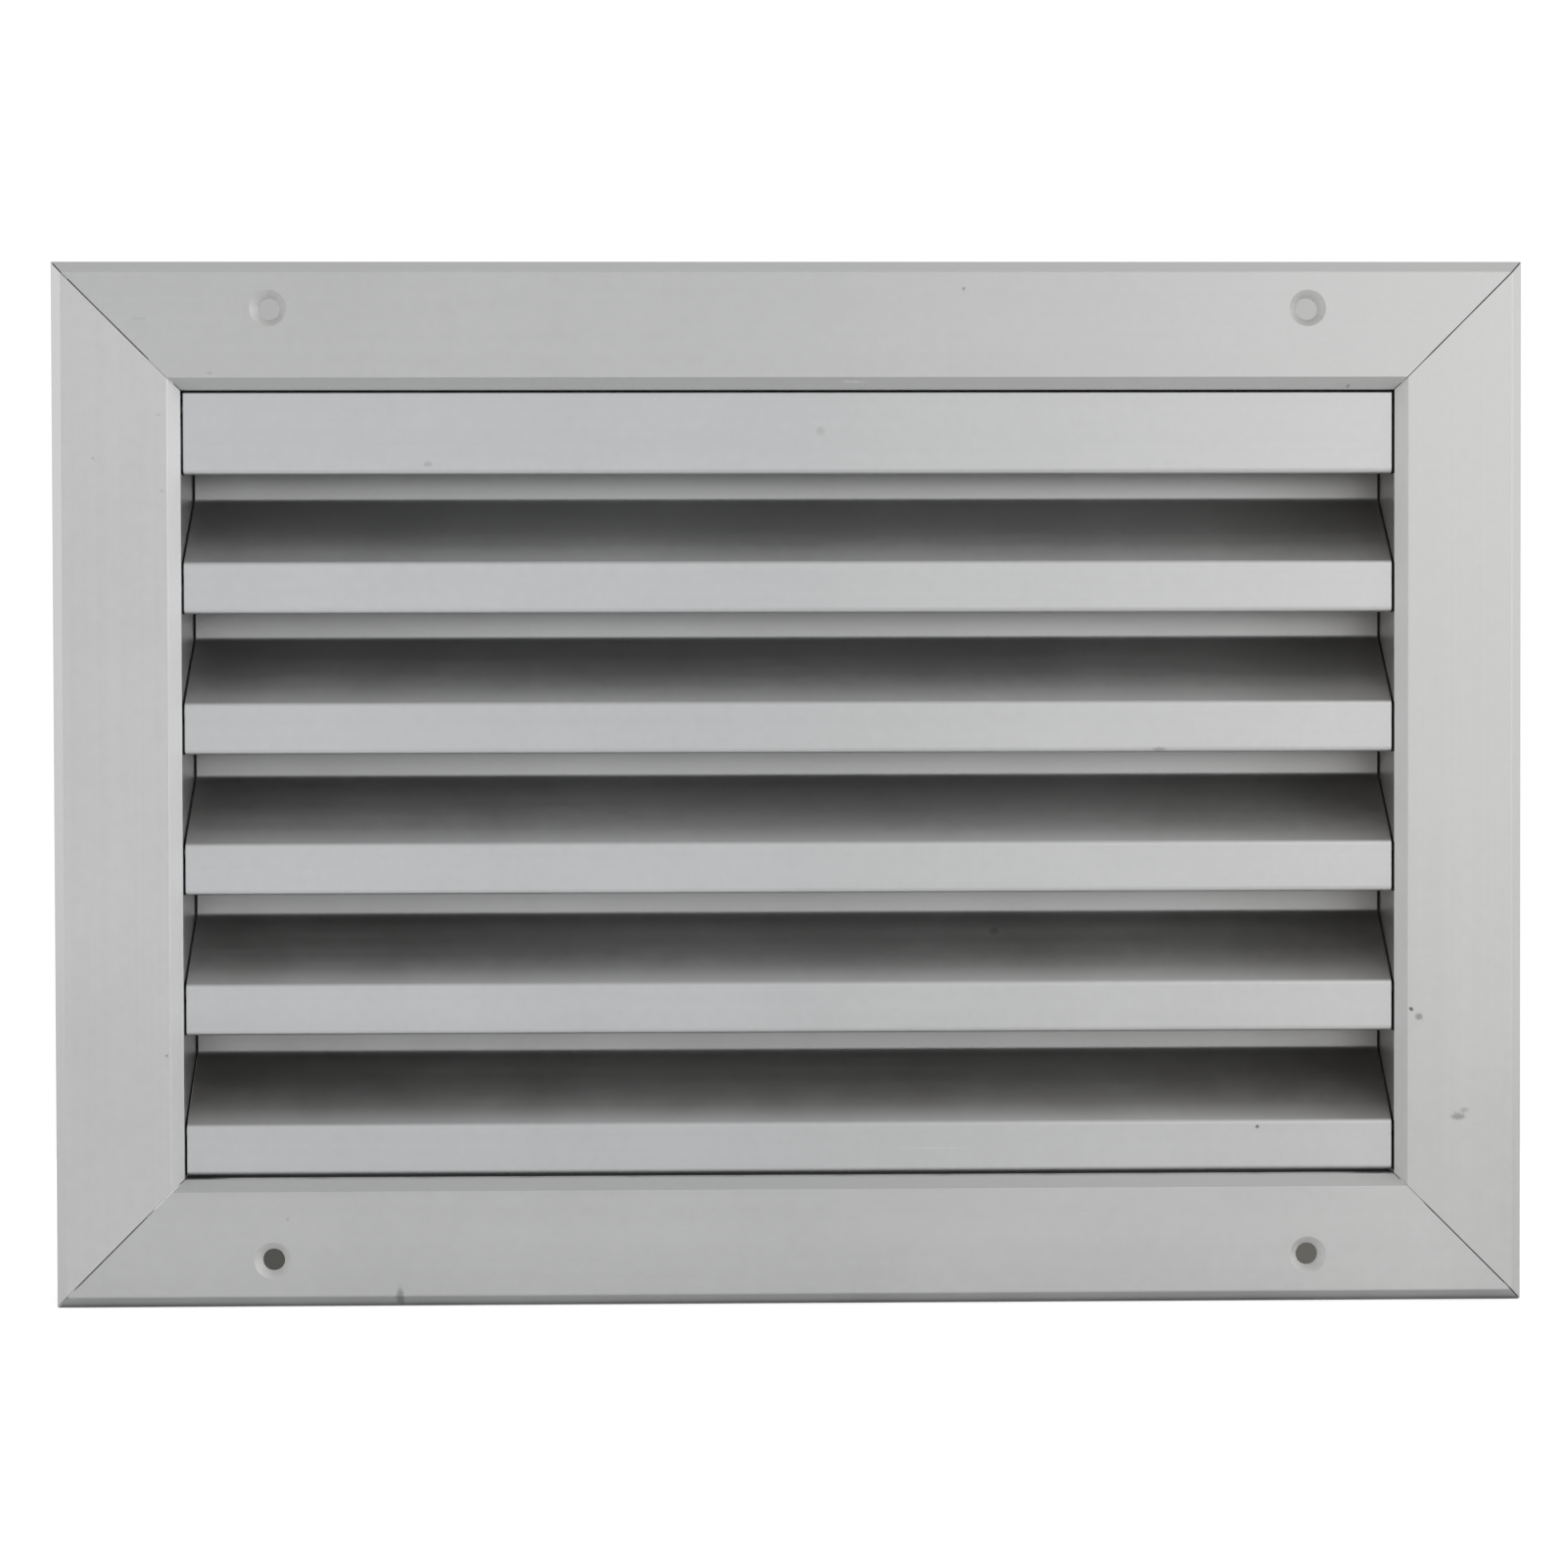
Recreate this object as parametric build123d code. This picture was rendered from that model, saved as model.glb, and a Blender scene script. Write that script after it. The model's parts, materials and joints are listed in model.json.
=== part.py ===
import os
from math import cos, radians, sqrt, tan

from build123d import *

# Weather louvre in millimetres: the front faces -Y, the wall plane is Y = 0 and Z is up.
# The origin is the centre of the opening, on the wall plane.

# Overall size
overall_width = 345.0
overall_height = 245.0

# Frame rail section
flange_width = 30.0  # seen from the front, with both bevels
flange_depth = 6.0  # from the wall plane to the front face
edge_bevel = 2.7  # 45 degree bevel on both edges of the flange
face_wall = 2.5
side_wall = 1.8  # outer return and leg
corner_fillet = 0.6  # inside the corners of the flange
arris_round = 0.3  # outer arrises of the flange
mitre_gap = 0.16  # between the cut ends of two rails

# Channel for the corner cleats, on the back of the flange
channel_inset = 9.0  # from the opening to the channel
channel_width = 16.0
hook_wall = 1.2
hook_lip = 1.8  # reach of each hook over the channel
cleat_thickness = 1.8
cleat_arm = 36.0
cleat_lead = 2.5  # chamfer on the ends that enter the channel
cleat_clearance = 0.1

# Countersunk holes for the wall screws
hole_diameter = 5.2
countersink_diameter = 8.6
countersink_angle = 90.0
hole_from_side = 50.9
hole_from_edge = 11.2

# Bird mesh and its groove at the rear of the legs
mesh_wire = 1.6
mesh_wire_flats = 12  # sides of the drawn wire
mesh_pitch = 25.4
mesh_clearance = 0.1  # in front of and behind the wires
mesh_end_gap = 0.4  # from the wire ends to the leg
groove_wall = 1.1
groove_reach = 4.0  # how far the groove walls stand in from the leg
groove_gap = 5.7  # air space from the rear of the blades to the groove

# Louvre blade section
blade_pitch = 33.0
blade_wall = 1.5
blade_lip = 11.75
blade_rise = 15.7
blade_slope = 45.0
blade_upstand = 11.8
blade_setback = 0.3  # from the rear of the inner bevel to the lip
blade_end_gap = 0.5
blade_foot_gap = 0.75
nose_radius = 0.5  # inside the corner between lip and slope
nose_round = 1.5  # outside the same corner
valley_radius = 1.6  # inside the corner between slope and upstand
lip_edge_flat = 0.2  # left behind the round at the foot of a lip
upstand_edge_flat = 0.5  # left between the two rounds on an upstand

# Head bar above the blades
head_gap = 0.4
head_drop = 0.4  # lower edge below the next pitch line
head_depth = 12.0

# Self-tapping screws through the legs, drawn at their core diameter
screw_core = 2.8
screw_length = 13.0
screw_hole = 3.9
screw_head_flats = 5.5  # across the flats of the hexagon
screw_head_height = 2.3
screw_head_clearance = 0.15  # to the fillet behind the flange

# Screw ports in the blades and the head bar
port_clearance = 0.05  # between the screw core and the bore
port_wall = 1.45
port_slot = 1.7
port_standoff = 2.2  # from the wall it grows on to the centre of the bore

# Derived sizes and places
opening_width = overall_width - 2 * flange_width
opening_height = overall_height - 2 * flange_width
face_y = -flange_depth
face_back_y = face_y + face_wall
lip_y = face_y + edge_bevel + blade_setback
blade_run = blade_rise / tan(radians(blade_slope))
wall_shift = blade_wall * tan(radians(90 - blade_slope) / 2)  # corner offset through the blade's wall
lip_edge_radius = blade_wall - lip_edge_flat
upstand_edge_radius = (blade_wall - upstand_edge_flat) / 2
blade_length = opening_width - 2 * blade_end_gap
blade_count = int(opening_height // blade_pitch)
foot_z = -opening_height / 2 + blade_foot_gap
head_top_z = opening_height / 2 - head_gap
head_height = head_top_z - foot_z - blade_count * blade_pitch + head_drop
port_bore_radius = screw_core / 2 + port_clearance
port_radius = port_bore_radius + port_wall
screw_y = face_back_y + corner_fillet + screw_head_flats / sqrt(3) + screw_head_clearance
groove_depth = 2 * mesh_wire + 2 * mesh_clearance
groove_start_y = lip_y + blade_run + blade_wall + groove_gap + groove_wall
groove_end_y = groove_start_y + groove_depth
leg_end_y = groove_end_y + groove_wall
leg_outer_x = opening_width / 2 + side_wall


def rounded(face, points, radius):
    corners = [face.vertices().sort_by_distance(point)[0] for point in points]
    return fillet(corners, radius)


# Frame rails
# The section's x runs outwards from the opening and its y runs back from the wall plane.


def cleat_hooks():
    height = cleat_thickness + 2 * cleat_clearance + hook_wall
    wall = Rectangle(hook_wall, height, align=(Align.MIN, Align.MIN))
    lip = Rectangle(hook_wall + hook_lip, hook_wall, align=(Align.MIN, Align.MAX))
    hook = Pos(-channel_width / 2 - hook_wall, 0) * (wall + Pos(0, height) * lip)
    pair = hook + mirror(hook, about=Plane.YZ)
    return Pos(channel_inset + channel_width / 2, face_back_y) * pair


def groove_walls():
    wall = Rectangle(groove_reach + side_wall, groove_wall, align=(Align.MIN, Align.MIN))
    front = Pos(-groove_reach, groove_start_y - groove_wall) * wall
    rear = Pos(-groove_reach, groove_end_y) * wall
    return front + rear


def rail_section():
    bevel_y = face_y + edge_bevel
    front = [(0, bevel_y), (edge_bevel, face_y), (flange_width - edge_bevel, face_y), (flange_width, bevel_y)]
    back = [(flange_width - side_wall, face_back_y), (side_wall, face_back_y)]
    rear_edges = [(flange_width, 0), (flange_width - side_wall, 0)]
    leg_edges = [(side_wall, leg_end_y), (0, leg_end_y)]
    section = make_face(Polyline(*front, *rear_edges, *back, *leg_edges, close=True))
    section = rounded(section, front, arris_round)
    section = rounded(section, back, corner_fillet)
    return section + cleat_hooks() + groove_walls()


def mitred_rail(inner_length, inner_distance):
    # Drawn as a top rail, with the edge of the opening at Z = inner_distance.
    plane = Plane(origin=(0, 0, inner_distance), x_dir=(0, 0, 1), z_dir=(-1, 0, 0))
    stock = extrude(plane * rail_section(), inner_length / 2 + flange_width, both=True)
    below = 2 * groove_reach
    half_foot = inner_length / 2 - below - mitre_gap / sqrt(2)
    half_top = half_foot + below + flange_width
    outline = Polyline(
        (-half_top, inner_distance + flange_width),
        (half_top, inner_distance + flange_width),
        (half_foot, inner_distance - below),
        (-half_foot, inner_distance - below),
        close=True,
    )
    between_mitres = extrude(Plane.XZ * make_face(outline), flange_depth + leg_end_y, both=True)
    return stock & between_mitres


def wall_screw_hole():
    # Points out of the front face, with its mouth at the origin.
    sink = (countersink_diameter - hole_diameter) / 2 / tan(radians(countersink_angle / 2))
    top = (Align.CENTER, Align.CENTER, Align.MAX)
    through = Cylinder(hole_diameter / 2, flange_depth, align=top)
    cone = Cone(hole_diameter / 2, countersink_diameter / 2, sink, align=top)
    return Rot(90, 0, 0) * (through + cone)


def fixing_rail():
    rail = mitred_rail(opening_width, opening_height / 2)
    hole_x = overall_width / 2 - hole_from_side
    hole_z = overall_height / 2 - hole_from_edge
    for x in (-hole_x, hole_x):
        rail -= Pos(x, face_y, hole_z) * wall_screw_hole()
    return rail


def side_rail(side):
    rail = Rot(0, 90 * side, 0) * mitred_rail(opening_height, opening_width / 2)
    hole = Rot(0, 90, 0) * Cylinder(screw_hole / 2, 2 * side_wall)
    for z in screw_heights():
        rail -= Pos(side * (leg_outer_x - side_wall / 2), screw_y, z) * hole
    return rail


def corner_cleat():
    # Drawn for the top right corner.
    width = channel_width - 2 * cleat_clearance
    reach = channel_inset + channel_width - cleat_clearance
    corner = (opening_width / 2 + reach, opening_height / 2 + reach)
    outer = (Align.MAX, Align.MAX)
    arms = Rectangle(cleat_arm, width, align=outer) + Rectangle(width, cleat_arm, align=outer)
    ends = arms.vertices().sort_by_distance((0, 0))[-4:]
    plate = Pos(*corner) * chamfer(ends, cleat_lead)
    front = Plane(origin=(0, face_back_y + cleat_clearance, 0), x_dir=(1, 0, 0), z_dir=(0, -1, 0))
    return extrude(front * plate, -cleat_thickness)


# Blades and head bar
# The section's x runs back from the front of the lip and its y runs up.


def screw_port(x, y, slot_angle):
    mouth = Rectangle(2 * port_radius, port_slot, align=(Align.MIN, Align.CENTER))
    ring = Circle(port_radius) - Circle(port_bore_radius) - Rot(0, 0, slot_angle) * mouth
    return Pos(x, y) * ring


def blade_port():
    # Under the slope, in the corner behind the lip.
    x = screw_y - lip_y
    slope_below = blade_lip - wall_shift + (x - blade_wall) * tan(radians(blade_slope))
    return x, slope_below - port_standoff / cos(radians(blade_slope))


def blade_section():
    valley = blade_lip + blade_rise
    top = valley + blade_upstand
    rear = blade_run + blade_wall
    face = make_face(
        Polyline(
            (0, 0),
            (0, blade_lip),
            (blade_run, valley),
            (blade_run, top),
            (rear, top),
            (rear, valley - wall_shift),
            (blade_wall, blade_lip - wall_shift),
            (blade_wall, 0),
            close=True,
        )
    )
    face = rounded(face, [(0, blade_lip)], nose_round)
    face = rounded(face, [(blade_wall, blade_lip - wall_shift)], nose_radius)
    face = rounded(face, [(blade_run, valley)], valley_radius)
    face = rounded(face, [(rear, valley - wall_shift)], valley_radius + blade_wall)
    face = rounded(face, [(0, 0)], lip_edge_radius)
    face = rounded(face, [(blade_run, top), (rear, top)], upstand_edge_radius)
    return face + screw_port(*blade_port(), blade_slope / 2 - 45)


def head_port():
    return screw_y - lip_y, -blade_wall - port_standoff


def head_section():
    face = make_face(
        Polyline(
            (0, 0),
            (0, -head_height),
            (blade_wall, -head_height),
            (blade_wall, -blade_wall),
            (head_depth, -blade_wall),
            (head_depth, 0),
            close=True,
        )
    )
    face = rounded(face, [(0, -head_height)], lip_edge_radius)
    face = rounded(face, [(0, 0)], upstand_edge_radius)
    face = rounded(face, [(blade_wall, -blade_wall)], valley_radius)
    return face + screw_port(*head_port(), -45)


def across(section, z):
    bar = extrude(Plane.YZ * section, blade_length / 2, both=True)
    return Pos(0, lip_y, z) * bar


def blade_foot(number):
    # Blades are numbered from the top.
    return foot_z + (blade_count - number) * blade_pitch


# Screws and bird mesh


def screw_heights():
    blades = [blade_foot(number) + blade_port()[1] for number in range(1, blade_count + 1)]
    return [head_top_z + head_port()[1], *blades]


def blade_screw():
    # Points along Z, with the head bearing on Z = 0.
    head = extrude(RegularPolygon(screw_head_flats / 2, 6, major_radius=False), screw_head_height)
    shank = Cylinder(screw_core / 2, screw_length, align=(Align.CENTER, Align.CENTER, Align.MAX))
    return head + shank


def blade_screws(side):
    screw = Rot(0, 90 * side, 0) * blade_screw()
    return Compound([Pos(side * leg_outer_x, screw_y, z) * screw for z in screw_heights()])


def wire_places(length):
    spaces = int((length - mesh_wire) // mesh_pitch)
    return [(number - spaces / 2) * mesh_pitch for number in range(spaces + 1)]


def bird_mesh():
    # Two layers of straight wires that touch flat to flat where they cross.
    width = opening_width - 2 * mesh_end_gap
    height = opening_height - 2 * mesh_end_gap
    front_y = groove_start_y + mesh_clearance + mesh_wire / 2
    half_side = 180 / mesh_wire_flats
    wire = RegularPolygon(mesh_wire / 2, mesh_wire_flats, major_radius=False, rotation=half_side)
    upright = extrude(wire, height / 2, both=True)
    level = Rot(0, 90, 0) * extrude(wire, width / 2, both=True)
    uprights = [Pos(x, front_y, 0) * upright for x in wire_places(width)]
    levels = [Pos(0, front_y + mesh_wire, z) * level for z in wire_places(height)]
    return Compound(uprights + levels)


top_rail = fixing_rail()
cleat = corner_cleat()
left_cleat = mirror(cleat, about=Plane.YZ)
nodes = {
    "frame_top_rail": top_rail,
    "frame_bottom_rail": Rot(0, 180, 0) * top_rail,
    "frame_left_rail": side_rail(-1),
    "frame_right_rail": side_rail(1),
    "corner_cleat_top_right": cleat,
    "corner_cleat_top_left": left_cleat,
    "corner_cleat_bottom_right": mirror(cleat, about=Plane.XY),
    "corner_cleat_bottom_left": mirror(left_cleat, about=Plane.XY),
    "head_bar": across(head_section(), head_top_z),
    "blade_screws_left": blade_screws(-1),
    "blade_screws_right": blade_screws(1),
    "bird_mesh": bird_mesh(),
}
for number in range(1, blade_count + 1):
    nodes[f"louvre_blade_{number}"] = across(blade_section(), blade_foot(number))

os.makedirs("parts", exist_ok=True)
for name, shape in nodes.items():
    export_step(shape, f"parts/{name}.step")
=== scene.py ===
import json
import math

import bmesh
import bpy
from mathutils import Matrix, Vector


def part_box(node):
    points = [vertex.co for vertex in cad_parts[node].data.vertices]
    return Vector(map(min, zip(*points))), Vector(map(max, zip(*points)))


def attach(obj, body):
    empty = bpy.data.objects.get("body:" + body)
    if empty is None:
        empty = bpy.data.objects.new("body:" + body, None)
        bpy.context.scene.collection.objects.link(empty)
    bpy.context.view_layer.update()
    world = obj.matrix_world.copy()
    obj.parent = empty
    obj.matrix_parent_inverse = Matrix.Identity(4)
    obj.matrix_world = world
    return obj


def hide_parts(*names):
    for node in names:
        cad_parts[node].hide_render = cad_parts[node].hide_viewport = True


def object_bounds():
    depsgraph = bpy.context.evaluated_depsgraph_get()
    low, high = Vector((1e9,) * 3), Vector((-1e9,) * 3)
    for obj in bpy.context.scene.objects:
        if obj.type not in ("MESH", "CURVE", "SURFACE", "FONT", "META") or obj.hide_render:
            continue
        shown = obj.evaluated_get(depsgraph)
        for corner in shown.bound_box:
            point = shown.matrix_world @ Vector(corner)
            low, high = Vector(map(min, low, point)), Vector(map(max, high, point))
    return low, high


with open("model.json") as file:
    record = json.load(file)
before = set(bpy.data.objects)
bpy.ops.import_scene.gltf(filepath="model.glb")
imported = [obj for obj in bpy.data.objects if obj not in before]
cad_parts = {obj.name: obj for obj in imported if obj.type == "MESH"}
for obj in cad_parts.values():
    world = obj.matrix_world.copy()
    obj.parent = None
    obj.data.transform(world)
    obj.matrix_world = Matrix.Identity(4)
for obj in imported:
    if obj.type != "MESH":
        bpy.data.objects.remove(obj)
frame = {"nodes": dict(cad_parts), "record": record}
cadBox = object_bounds()
nodes = frame["nodes"]
print("frame loaded:", len(nodes), "nodes")

# Places on the part, in metres
bladeNames = [f"louvre_blade_{number}" for number in range(1, 6)]
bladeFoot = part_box("louvre_blade_5")[0].z
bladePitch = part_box("louvre_blade_4")[0].z - bladeFoot
headLow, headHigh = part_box("head_bar")
lipFront = headLow.y
barEnd = headHigh.x
mitreOffset = cadBox[1][0] - cadBox[1][2]
mounts = {mount["name"]: mount["dims"] for mount in frame["record"]["mounts"]}
holeAcross = mounts["screw_holes"]["spacing_x_mm"] / 2 / 1000
holeHeight = mounts["screw_holes"]["spacing_y_mm"] / 2 / 1000
openingAcross = 0.1425  # half of the opening
openingHeight = 0.0925

# Camera, fitted to the straight edges of the photograph
photoCamera = {
    "place": (-0.014828, -0.716773, 0.011601),
    "turn": (89.067218, 0.157939, -1.070143),  # degrees
    "sensor": 36,  # millimetres
    "lens": 69.6595,
    "clipStart": 0.01,
}


def makeCamera(values):
    data = bpy.data.cameras.new("photoCamera")
    data.sensor_width = values["sensor"]
    data.lens = values["lens"]
    data.clip_start = values["clipStart"]
    camera = bpy.data.objects.new("photoCamera", data)
    camera.location = values["place"]
    camera.rotation_euler = [math.radians(angle) for angle in values["turn"]]
    bpy.context.collection.objects.link(camera)
    bpy.context.scene.camera = camera


makeCamera(photoCamera)
bpy.context.scene.view_settings.view_transform = "Standard"
print("camera set")


# Short ways to lay shader nodes
def feed(tree, socket, value):
    if isinstance(value, bpy.types.NodeSocket):
        tree.links.new(value, socket)
    else:
        socket.default_value = value


def addNode(tree, kind, values=None, **settings):
    made = tree.nodes.new(kind)
    for key, value in settings.items():
        setattr(made, key, value)
    for key, value in (values or {}).items():
        feed(tree, made.inputs[key], value)
    return made


def calc(tree, operation, first, second=0.0, clamp=False):
    values = {0: first, 1: second}
    return addNode(tree, "ShaderNodeMath", values, operation=operation, use_clamp=clamp).outputs[0]


def product(tree, first, *others):
    for other in others:
        first = calc(tree, "MULTIPLY", first, other)
    return first


def inverse(tree, share):
    return calc(tree, "SUBTRACT", 1.0, share)


def vectorCalc(tree, operation, first, second=(0, 0, 0)):
    made = addNode(tree, "ShaderNodeVectorMath", {0: first, 1: second}, operation=operation)
    return made.outputs["Value"] if operation == "LENGTH" else made.outputs[0]


def fade(tree, value, fromLow, fromHigh, toLow=0.0, toHigh=1.0, smooth=True):
    kind = "SMOOTHSTEP" if smooth else "LINEAR"
    values = {"Value": value, "From Min": fromLow, "From Max": fromHigh}
    values.update({"To Min": toLow, "To Max": toHigh})
    return addNode(tree, "ShaderNodeMapRange", values, interpolation_type=kind).outputs[0]


def mixColour(tree, amount, first, second, blend="MIX"):
    values = {0: amount, 6: first, 7: second}  # the sockets of the colour form
    return addNode(tree, "ShaderNodeMix", values, data_type="RGBA", blend_type=blend).outputs[2]


def mixValue(tree, amount, first, second):
    return addNode(tree, "ShaderNodeMix", {0: amount, 2: first, 3: second}).outputs[0]


def axes(tree, place):
    return addNode(tree, "ShaderNodeSeparateXYZ", {0: place}).outputs


def noise(tree, place, scale, detail, roughness=0.5):
    values = {"Vector": place, "Scale": scale, "Detail": detail, "Roughness": roughness}
    return addNode(tree, "ShaderNodeTexNoise", values).outputs[0]


def swing(tree, value):
    # Noise runs from 0 to 1, this is how far it goes to either side
    return calc(tree, "SUBTRACT", value, 0.5)


def patchy(tree, place, values):
    # Slow patches that make a mask uneven
    found = noise(tree, place, values["scale"], values["detail"])
    return fade(tree, found, *values["noise"], *values["share"], smooth=values["smooth"])


def newGroup(name, inputs, outputs):
    group = bpy.data.node_groups.new(name, "ShaderNodeTree")
    for label, kind, value in inputs:
        socket = group.interface.new_socket(label, in_out="INPUT", socket_type="NodeSocket" + kind)
        socket.default_value = value
    for label, kind in outputs:
        group.interface.new_socket(label, in_out="OUTPUT", socket_type="NodeSocket" + kind)
    return group, group.nodes.new("NodeGroupInput").outputs, group.nodes.new("NodeGroupOutput").inputs


def useGroup(tree, group, **values):
    return addNode(tree, "ShaderNodeGroup", values, node_tree=group).outputs


# Effects that several finishes share
def makeDrawnGrain():
    inputs = [
        ("Place", "Vector", (0, 0, 0)),
        ("Run", "Vector", (1, 1, 1)),
        ("Strength", "Float", 1.0),
        ("Fine", "Float", 0.10),  # what the narrow lines add to the shade
        ("Wide", "Float", 0.12),  # and the broad ones
        ("Dull", "Float", 0.12),  # what both add to the roughness
    ]
    outputs = [("Shade", "Float"), ("Rough", "Float"), ("Height", "Float")]
    group, given, out = newGroup("drawnGrain", inputs, outputs)
    stretched = vectorCalc(group, "MULTIPLY", given["Place"], given["Run"])
    narrow = noise(group, stretched, scale=1.0, detail=4.0, roughness=0.6)
    broad = noise(group, stretched, scale=0.09, detail=2.0)
    fineLine = swing(group, narrow)
    wideLine = swing(group, broad)
    fineShade = calc(group, "MULTIPLY", fineLine, given["Fine"])
    wideShade = calc(group, "MULTIPLY", wideLine, given["Wide"])
    lines = calc(group, "MULTIPLY", calc(group, "ADD", fineShade, wideShade), given["Strength"])
    group.links.new(calc(group, "ADD", lines, 1.0), out["Shade"])
    rough = calc(group, "ADD", fineLine, wideLine)
    group.links.new(product(group, rough, given["Dull"], given["Strength"]), out["Rough"])
    group.links.new(narrow, out["Height"])
    return group


def makeCloudedOxide():
    inputs = [
        ("Place", "Vector", (0, 0, 0)),
        ("Scale", "Float", 20.0),
        ("Strength", "Float", 0.05),
        ("SpeckleScale", "Float", 420.0),
        ("Speckle", "Float", 0.8),  # beside clouds of one
    ]
    group, given, out = newGroup("cloudedOxide", inputs, [("Shade", "Float"), ("Rough", "Float")])
    clouds = swing(group, noise(group, given["Place"], given["Scale"], detail=3.0))
    dots = swing(group, noise(group, given["Place"], given["SpeckleScale"], detail=3.0))
    both = calc(group, "ADD", clouds, calc(group, "MULTIPLY", dots, given["Speckle"]))
    change = calc(group, "MULTIPLY", both, given["Strength"])
    group.links.new(calc(group, "ADD", change, 1.0), out["Shade"])
    group.links.new(change, out["Rough"])
    return group


def makeHandMark():
    inputs = [
        ("Place", "Vector", (0, 0, 0)),
        ("Torn", "Float", 0.5),
        ("Centre", "Vector", (0, 0, 0)),
        ("Reach", "Vector", (0.001, 0.001, 0.001)),
        ("Ragged", "Float", 0.5),
        ("Depth", "Float", 0.5),
        ("Solid", "Float", 0.35),  # share of the reach that is fully covered
    ]
    group, given, out = newGroup("handMark", inputs, [("Mask", "Float")])
    offset = vectorCalc(group, "SUBTRACT", given["Place"], given["Centre"])
    length = vectorCalc(group, "LENGTH", vectorCalc(group, "DIVIDE", offset, given["Reach"]))
    push = product(group, swing(group, given["Torn"]), given["Ragged"], 2.0)  # to the whole of Ragged
    mask = fade(group, calc(group, "ADD", length, push), 1.0, given["Solid"])
    group.links.new(calc(group, "MULTIPLY", mask, given["Depth"], clamp=True), out["Mask"])
    return group


seamPatches = {"scale": 62.0, "detail": 1.0, "noise": (0.30, 0.52), "share": (0.65, 1.0), "smooth": True}


def makeMitreSeam():
    # Dark line where two rails meet, tighter at its inner end
    inputs = [
        ("Place", "Vector", (0, 0, 0)),
        ("Offset", "Float", mitreOffset),
        ("Width", "Float", 0.0003),
        ("Core", "Float", 0.35),  # share of the width that is fully dark
        ("Inner", "Float", 0.0985),
        ("Opening", "Float", 0.003),
        ("Tight", "Float", 0.35),
    ]
    group, given, out = newGroup("mitreSeam", inputs, [("Mask", "Float")])
    place = axes(group, given["Place"])
    side = calc(group, "ABSOLUTE", place["X"])
    up = calc(group, "ABSOLUTE", place["Z"])
    away = calc(group, "SUBTRACT", calc(group, "SUBTRACT", side, up), given["Offset"])
    core = calc(group, "MULTIPLY", given["Width"], given["Core"])
    line = fade(group, calc(group, "ABSOLUTE", away), given["Width"], core)
    outer = calc(group, "ADD", given["Inner"], given["Opening"])
    opened = fade(group, up, given["Inner"], outer, given["Tight"], 1.0)
    uneven = patchy(group, given["Place"], seamPatches)
    group.links.new(product(group, line, opened, uneven), out["Mask"])
    return group


recessShadingPatches = {"scale": 55.0, "detail": 4.0, "noise": (0.2, 0.8), "share": (0.85, 1.15), "smooth": False}


def makeRecessLightAndShade():
    # Painted shade behind the lips, darker towards the lower blades and the blade ends; with a pale colour
    # the same mask paints light instead
    inputs = [
        ("Place", "Vector", (0, 0, 0)),
        ("Start", "Float", lipFront),
        ("End", "Float", -0.0026),
        ("Full", "Float", 0.001),
        ("Nose", "Float", 0.18),  # amount at the start
        ("Upper", "Float", 0.08),  # amount behind it, at the top of the opening
        ("Lower", "Float", 0.22),  # and at the bottom
        ("LowPower", "Float", 2.0),
        ("Half", "Float", 0.09),  # half of the height from top to bottom
        ("Upstand", "Float", 0.5),  # share of it on the upstands
        ("UpstandStart", "Float", 0.0115),
        ("UpstandEnd", "Float", 0.0125),
        ("LeftEnd", "Float", 0.0),  # amount added at the left
        ("LeftFrom", "Float", -0.05),
        ("LeftTo", "Float", -0.14),
        ("RightEnd", "Float", 0.0),  # and at the right
        ("RightFrom", "Float", 0.06),
        ("RightTo", "Float", barEnd),
        ("RightPower", "Float", 3.0),
        ("EndsFrom", "Float", 0.0130),  # where both stop, in depth
        ("EndsTo", "Float", 0.0137),
        ("Inner", "Float", 1.0),  # covers only what is nearer to the middle
        ("Foot", "Float", bladeFoot - 0.001),
        ("Pitch", "Float", bladePitch),
        ("Edge", "Float", 0.0035),  # the lower edges of the lips stay unshaded
    ]
    group, given, out = newGroup("recessLightAndShade", inputs, [("Mask", "Float")])
    x, y, z = axes(group, given["Place"])
    bottom = calc(group, "MULTIPLY", given["Half"], -1.0)
    lowness = fade(group, z, given["Half"], bottom, smooth=False)
    lowness = calc(group, "POWER", lowness, given["LowPower"])
    amount = fade(group, lowness, 0.0, 1.0, given["Upper"], given["Lower"], smooth=False)
    amount = fade(group, y, given["Start"], given["Full"], given["Nose"], amount, smooth=False)
    upstand = fade(group, y, given["UpstandStart"], given["UpstandEnd"], 1.0, given["Upstand"])
    amount = calc(group, "MULTIPLY", amount, upstand)
    left = fade(group, x, given["LeftFrom"], given["LeftTo"], smooth=False)
    left = calc(group, "MULTIPLY", left, given["LeftEnd"])
    right = fade(group, x, given["RightFrom"], given["RightTo"], smooth=False)
    right = calc(group, "POWER", right, given["RightPower"])
    right = calc(group, "MULTIPLY", right, given["RightEnd"])
    rear = fade(group, y, given["EndsFrom"], given["EndsTo"], 1.0, 0.0)
    ends = calc(group, "MULTIPLY", calc(group, "ADD", left, right), rear)
    bare = calc(group, "MULTIPLY", inverse(group, amount), inverse(group, ends))
    inside = fade(group, y, given["Start"], given["End"])
    inside = calc(group, "MULTIPLY", inside, patchy(group, given["Place"], recessShadingPatches))
    mask = calc(group, "MULTIPLY", inside, inverse(group, bare), clamp=True)
    near = calc(group, "LESS_THAN", calc(group, "ABSOLUTE", x), given["Inner"])
    height = calc(group, "FLOORED_MODULO", calc(group, "SUBTRACT", z, given["Foot"]), given["Pitch"])
    onEdge = calc(group, "LESS_THAN", height, given["Edge"])
    unshadedEdge = calc(group, "MULTIPLY", onEdge, calc(group, "LESS_THAN", y, 0.0))
    group.links.new(product(group, mask, near, inverse(group, unshadedEdge)), out["Mask"])
    return group


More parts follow.
